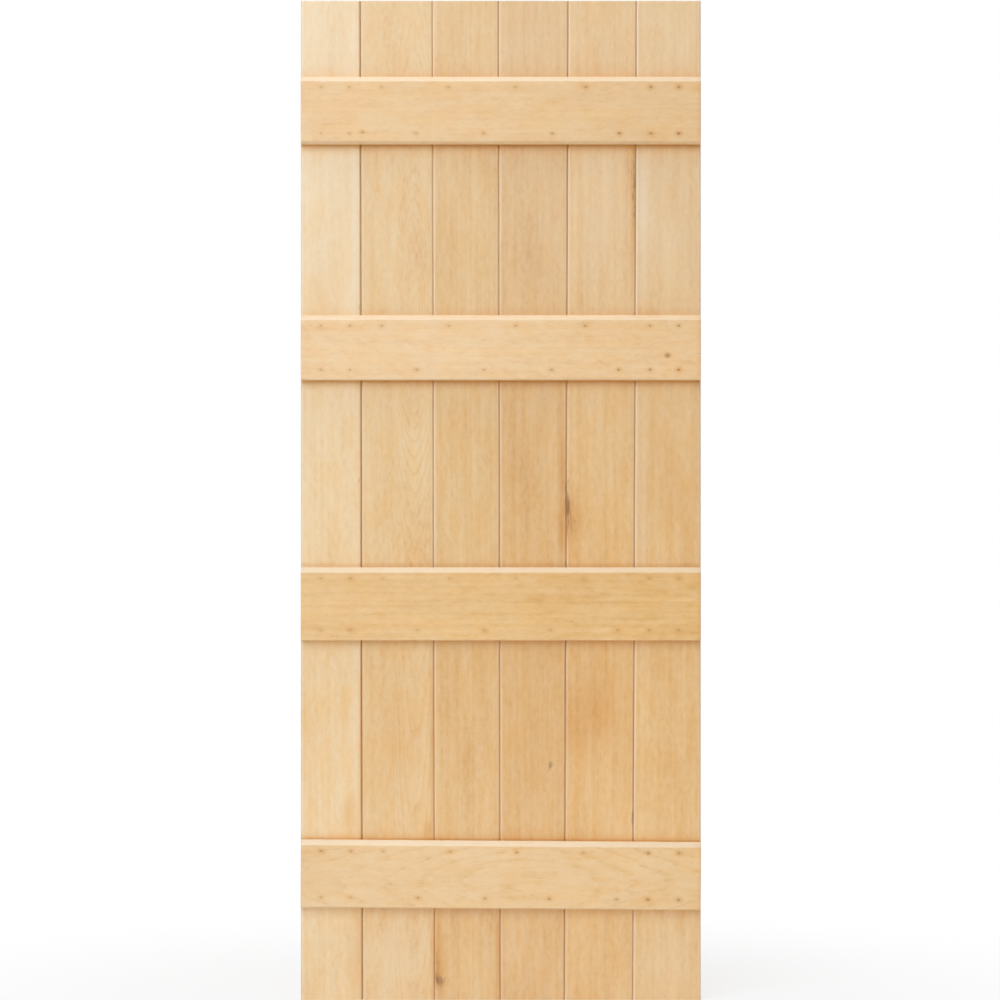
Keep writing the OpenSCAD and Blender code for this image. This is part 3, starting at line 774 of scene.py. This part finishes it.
def plugs(which, seed):
    """Sixteen lenses of filler: the punched oval, its outline uneven by a tenth, carried inwards from the
    face while it first widens to the hole and then closes behind."""
    rng = np.random.default_rng(seed)
    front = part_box(f"ledge_{which}")[0][1]
    flat = (punched_wide - punched_high) / 2
    size, deep = plug_sections[:, :1], plug_sections[:, 1:]
    co, faces, darkness = [], [], []
    for (x, z), tone in zip(nail_spots(which), stopping_tones(which)):
        uneven = 1 + uneven_twice * np.sin(2 * plug_round + rng.uniform(0, whole_turn))
        uneven = uneven + uneven_thrice * np.sin(3 * plug_round + rng.uniform(0, whole_turn))
        rim_x = np.sign(np.cos(plug_round)) * flat + punched_high / 2 * np.cos(plug_round) * uneven
        rim_z = punched_high / 2 * np.sin(plug_round) * uneven
        rings = np.stack([x + size * rim_x, front + deep + 0 * rim_x, z + size * rim_z], axis=-1)
        body, sides = skin(rings[:, ::-1])
        first = sum(len(c) for c in co)
        co.append(body)
        faces += [[first + n for n in side] for side in sides]
        darkness.append(np.full(len(body), tone))
    made = piece(f"stopping_fill_{which}", np.concatenate(co), faces, filler, dark=np.concatenate(darkness))
    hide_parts(f"stopping_{which}")


for k, which in enumerate(ledge_looks):
    plugs(which, seed=plug_seed + k)

# THE FLOOR AND THE LIGHT. A plain white floor under the leaf and white all round. One soft light stands
# in front on the left, one hangs overhead and catches the bevels, a low strip lights the foot, and one
# stands behind. The camera is seven metres off, at half the leaf's height.

floor_half = 9.0
floor_mesh = bpy.data.meshes.new("floor")
floor_mesh.from_pydata([(-floor_half, -floor_half, 0), (floor_half, -floor_half, 0),
                        (floor_half, floor_half, 0), (-floor_half, floor_half, 0)], [], [(0, 1, 2, 3)])
floor = bpy.data.objects.new("floor", floor_mesh)
bpy.context.scene.collection.objects.link(floor)


def looked_at(tree):
    """1 where the eye meets the white ground, straight on or mirrored in gloss or through glass, and 0
    where the ground only lights the leaf."""
    rays = wire(tree, "LightPath").node.outputs
    mirrored = wire(tree, "Math", {0: rays["Is Glossy Ray"], 1: rays["Is Transmission Ray"]},
                    operation="MAXIMUM")
    return wire(tree, "Math", {0: rays["Is Camera Ray"], 1: mirrored}, operation="MAXIMUM")


white_floor = bpy.data.materials.new("white_floor")
white_floor.use_nodes = True
tree = white_floor.node_tree
tree.nodes.clear()
# Matt white paint. Seen directly it is lifted towards white, more with distance from the leaf, so that
# the leaf's soft shadow stays and the floor has no far edge
matt = wire(tree, "BsdfDiffuse", {"Color": linear("#EDEDED")})
lift = wire(tree, "Emission", {"Color": (1, 1, 1, 1), "Strength": 1.0})
away = wire(tree, "VectorMath", {0: wire(tree, "TexCoord", out="Object")}, out="Value", operation="LENGTH")
lifted = wire(tree, "MapRange", {0: away, 1: 0.4, 2: 1.6, 3: 0.75, 4: 1.0}, interpolation_type="SMOOTHSTEP")
seen = wire(tree, "Math", {0: looked_at(tree), 1: lifted}, operation="MULTIPLY")
wire(tree, "OutputMaterial", {0: wire(tree, "MixShader", {0: seen, 1: matt, 2: lift})})
floor_mesh.materials.append(white_floor)

world_light = 0.22
world = bpy.data.worlds.new("white_studio")
bpy.context.scene.world = world
world.use_nodes = True
tree = world.node_tree
tree.nodes.clear()
level = wire(tree, "MapRange", {0: looked_at(tree), 3: world_light, 4: 1.0})
wire(tree, "OutputWorld", {0: wire(tree, "Background", {"Color": (1, 1, 1, 1), "Strength": level})})


def soft_light(name, place, aim, wide, high, watts):
    """A soft light of a width and height at place, its face turned to aim."""
    lamp = bpy.data.lights.new(name, "AREA")
    lamp.shape = "RECTANGLE"
    lamp.size = wide
    lamp.size_y = high
    lamp.energy = watts
    lit = bpy.data.objects.new(name, lamp)
    lit.location = place
    lit.rotation_euler = (lit.location - type(lit.location)(aim)).to_track_quat("Z", "Y").to_euler()
    lit.visible_camera = False
    bpy.context.scene.collection.objects.link(lit)


soft_light("front_light", place=(-1.6, -3.6, 3.3), aim=(0, 0, 1.0), wide=3.4, high=3.4, watts=113)
soft_light("overhead_light", place=(-0.3, -1.3, 7.0), aim=(0, 0, 1.0), wide=2.6, high=2.6, watts=106)
soft_light("low_light", place=(0, -1.2, 0.08), aim=(0, 0, 0.3), wide=1.2, high=0.1, watts=2.6)
soft_light("back_light", place=(1.6, 5.0, 3.6), aim=(0, 0, 1.0), wide=1.6, high=1.6, watts=160)

camera_off = 7.0
camera_aside = -0.0016
camera_up = 1.0169
picture_wide = 1000
pixels_a_metre = 491.8
sensor_wide = 36
lens = bpy.data.cameras.new("camera")
lens.sensor_width = sensor_wide
lens.lens = sensor_wide * pixels_a_metre * camera_off / picture_wide
camera = bpy.data.objects.new("camera", lens)
camera.location = (camera_aside, -camera_off, camera_up)
camera.rotation_euler = (np.pi / 2, 0, 0)
bpy.context.scene.collection.objects.link(camera)
bpy.context.scene.camera = camera
bpy.context.scene.view_settings.view_transform = "Standard"
